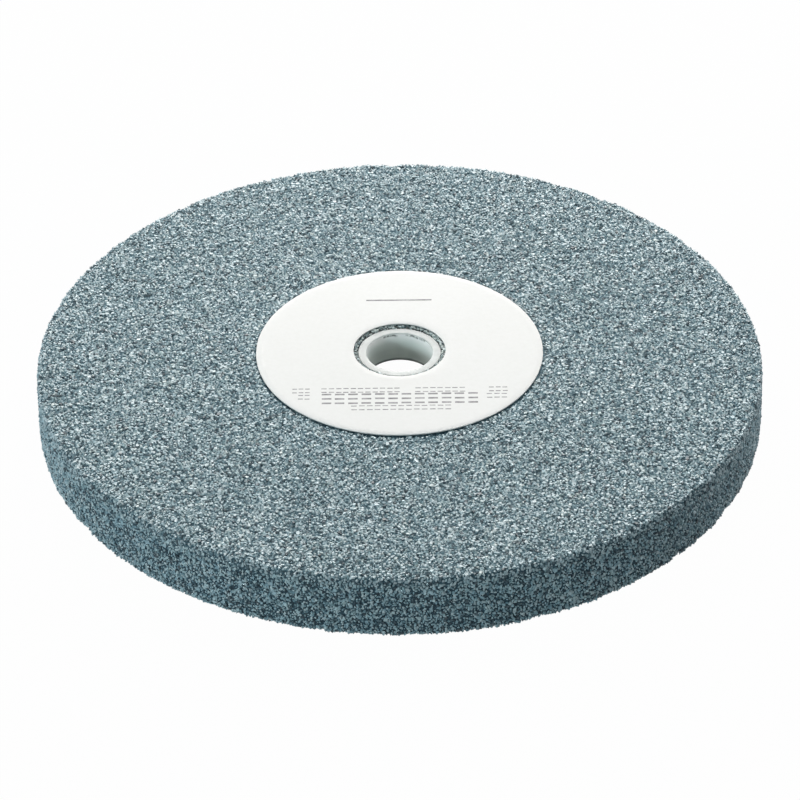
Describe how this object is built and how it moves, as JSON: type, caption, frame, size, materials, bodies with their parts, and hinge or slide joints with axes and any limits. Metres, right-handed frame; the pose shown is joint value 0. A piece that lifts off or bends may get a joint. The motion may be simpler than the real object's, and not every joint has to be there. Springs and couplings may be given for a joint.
{
  "type": "grinding wheel",
  "caption": "Flat vitrified abrasive wheel with a plastic bore bush, paper blotters on its clamping faces and a recess in its underside, for a bench grinder.",
  "frame": {"origin": "on the bore's axis, in the plane of the wheel's underside", "axes": "+Z along the bore's axis, from the recessed underside towards the flat front face"},
  "size_m": [0.175, 0.175, 0.0166],
  "materials": {
    "abrasive_grain": "coarse matte grain",
    "bush_plastic": "satin",
    "blotter_paper": "matte"
  },
  "bodies": {
    "root": {"abrasive_wheel": "abrasive_grain", "bore_bush": "bush_plastic", "front_blotter": "blotter_paper", "rear_blotter": "blotter_paper"}
  },
  "joints": []
}
